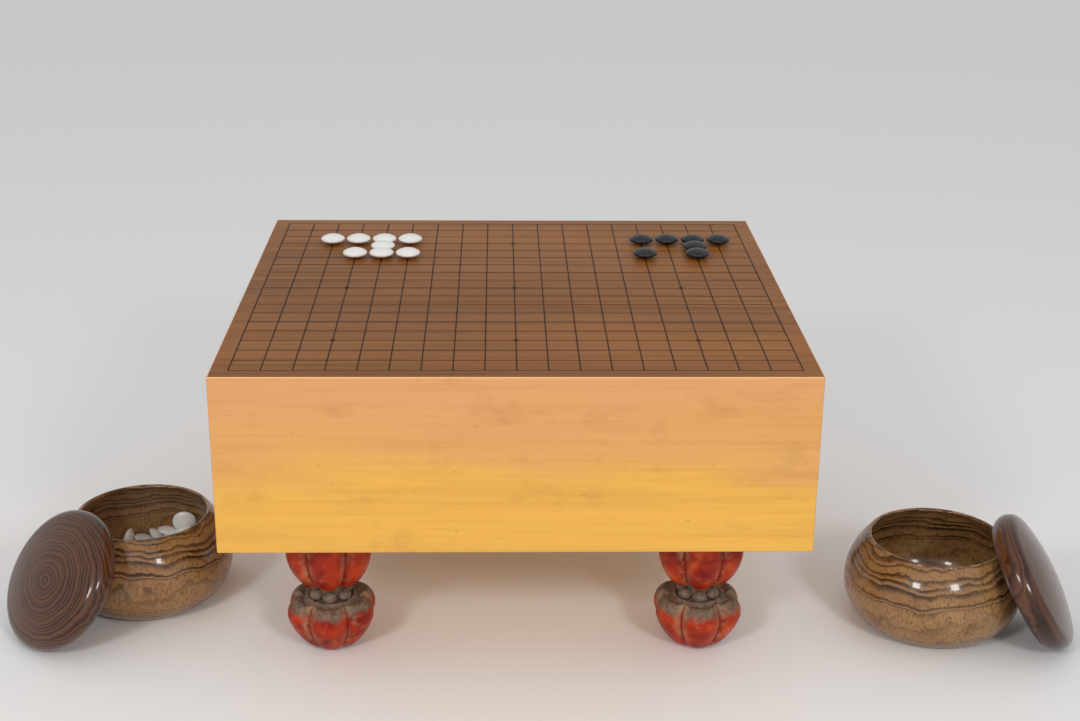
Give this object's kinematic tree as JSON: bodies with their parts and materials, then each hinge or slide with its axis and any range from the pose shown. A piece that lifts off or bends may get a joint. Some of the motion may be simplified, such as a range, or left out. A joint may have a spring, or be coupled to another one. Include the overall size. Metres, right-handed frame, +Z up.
{
  "type": "go board with stone bowls",
  "caption": "Floor-standing go board on carved feet, with turned wooden stone bowls, leaning lids and lens-shaped stones for a two-player board game.",
  "frame": {"origin": "on the floor, under the middle of the bounding box of the whole set", "axes": "+X along the wide front of the board to the viewer's right, +Y away from the front player, +Z up"},
  "size_m": [0.8882, 0.424, 0.2711],
  "materials": {
    "board_wood": "oiled, worn smooth",
    "line_lacquer": "thin raised lacquer film",
    "foot_lacquer": "worn vermilion lacquer over carved wood",
    "striped_wood": "glossy varnish over striped wood",
    "white_stone": "glossy",
    "black_stone": "satin"
  },
  "bodies": {
    "board": {"board_block": "board_wood", "grid_lines": "line_lacquer", "star_dots": "line_lacquer", "foot_back_left": "foot_lacquer", "foot_back_right": "foot_lacquer", "foot_front_left": "foot_lacquer", "foot_front_right": "foot_lacquer"},
    "left_bowl_set": {"left_bowl": "striped_wood", "white_stones_in_bowl": "white_stone"},
    "right_bowl_set": {"right_bowl": "striped_wood", "black_stones_in_bowl": "black_stone"},
    "left_lid_body": {"left_lid": "striped_wood"},
    "right_lid_body": {"right_lid": "striped_wood"},
    "black_stone_1_body": {"black_stone_1": "black_stone"},
    "black_stone_2_body": {"black_stone_2": "black_stone"},
    "black_stone_3_body": {"black_stone_3": "black_stone"},
    "black_stone_4_body": {"black_stone_4": "black_stone"},
    "black_stone_5_body": {"black_stone_5": "black_stone"},
    "black_stone_6_body": {"black_stone_6": "black_stone"},
    "black_stone_7_body": {"black_stone_7": "black_stone"},
    "white_stone_1_body": {"white_stone_1": "white_stone"},
    "white_stone_2_body": {"white_stone_2": "white_stone"},
    "white_stone_3_body": {"white_stone_3": "white_stone"},
    "white_stone_4_body": {"white_stone_4": "white_stone"},
    "white_stone_5_body": {"white_stone_5": "white_stone"},
    "white_stone_6_body": {"white_stone_6": "white_stone"},
    "white_stone_7_body": {"white_stone_7": "white_stone"},
    "white_stone_8_body": {"white_stone_8": "white_stone"}
  },
  "joints": [
    {"name": "left_bowl_lift", "type": "slide", "parent": "board", "child": "left_bowl_set", "axis": [0, 0, 1], "range_m": [0, 0.15]},
    {"name": "right_bowl_lift", "type": "slide", "parent": "board", "child": "right_bowl_set", "axis": [0, 0, 1], "range_m": [0, 0.15]},
    {"name": "left_lid_lift", "type": "slide", "parent": "left_bowl_set", "child": "left_lid_body", "axis": [0, 0, 1], "range_m": [0, 0.12]},
    {"name": "right_lid_lift", "type": "slide", "parent": "right_bowl_set", "child": "right_lid_body", "axis": [0, 0, 1], "range_m": [0, 0.12]},
    {"name": "black_stone_1_lift", "type": "slide", "parent": "board", "child": "black_stone_1_body", "axis": [0, 0, 1], "range_m": [0, 0.05]},
    {"name": "black_stone_2_lift", "type": "slide", "parent": "board", "child": "black_stone_2_body", "axis": [0, 0, 1], "range_m": [0, 0.05]},
    {"name": "black_stone_3_lift", "type": "slide", "parent": "board", "child": "black_stone_3_body", "axis": [0, 0, 1], "range_m": [0, 0.05]},
    {"name": "black_stone_4_lift", "type": "slide", "parent": "board", "child": "black_stone_4_body", "axis": [0, 0, 1], "range_m": [0, 0.05]},
    {"name": "black_stone_5_lift", "type": "slide", "parent": "board", "child": "black_stone_5_body", "axis": [0, 0, 1], "range_m": [0, 0.05]},
    {"name": "black_stone_6_lift", "type": "slide", "parent": "board", "child": "black_stone_6_body", "axis": [0, 0, 1], "range_m": [0, 0.05]},
    {"name": "black_stone_7_lift", "type": "slide", "parent": "board", "child": "black_stone_7_body", "axis": [0, 0, 1], "range_m": [0, 0.05]},
    {"name": "white_stone_1_lift", "type": "slide", "parent": "board", "child": "white_stone_1_body", "axis": [0, 0, 1], "range_m": [0, 0.05]},
    {"name": "white_stone_2_lift", "type": "slide", "parent": "board", "child": "white_stone_2_body", "axis": [0, 0, 1], "range_m": [0, 0.05]},
    {"name": "white_stone_3_lift", "type": "slide", "parent": "board", "child": "white_stone_3_body", "axis": [0, 0, 1], "range_m": [0, 0.05]},
    {"name": "white_stone_4_lift", "type": "slide", "parent": "board", "child": "white_stone_4_body", "axis": [0, 0, 1], "range_m": [0, 0.05]},
    {"name": "white_stone_5_lift", "type": "slide", "parent": "board", "child": "white_stone_5_body", "axis": [0, 0, 1], "range_m": [0, 0.05]},
    {"name": "white_stone_6_lift", "type": "slide", "parent": "board", "child": "white_stone_6_body", "axis": [0, 0, 1], "range_m": [0, 0.05]},
    {"name": "white_stone_7_lift", "type": "slide", "parent": "board", "child": "white_stone_7_body", "axis": [0, 0, 1], "range_m": [0, 0.05]},
    {"name": "white_stone_8_lift", "type": "slide", "parent": "board", "child": "white_stone_8_body", "axis": [0, 0, 1], "range_m": [0, 0.05]}
  ]
}
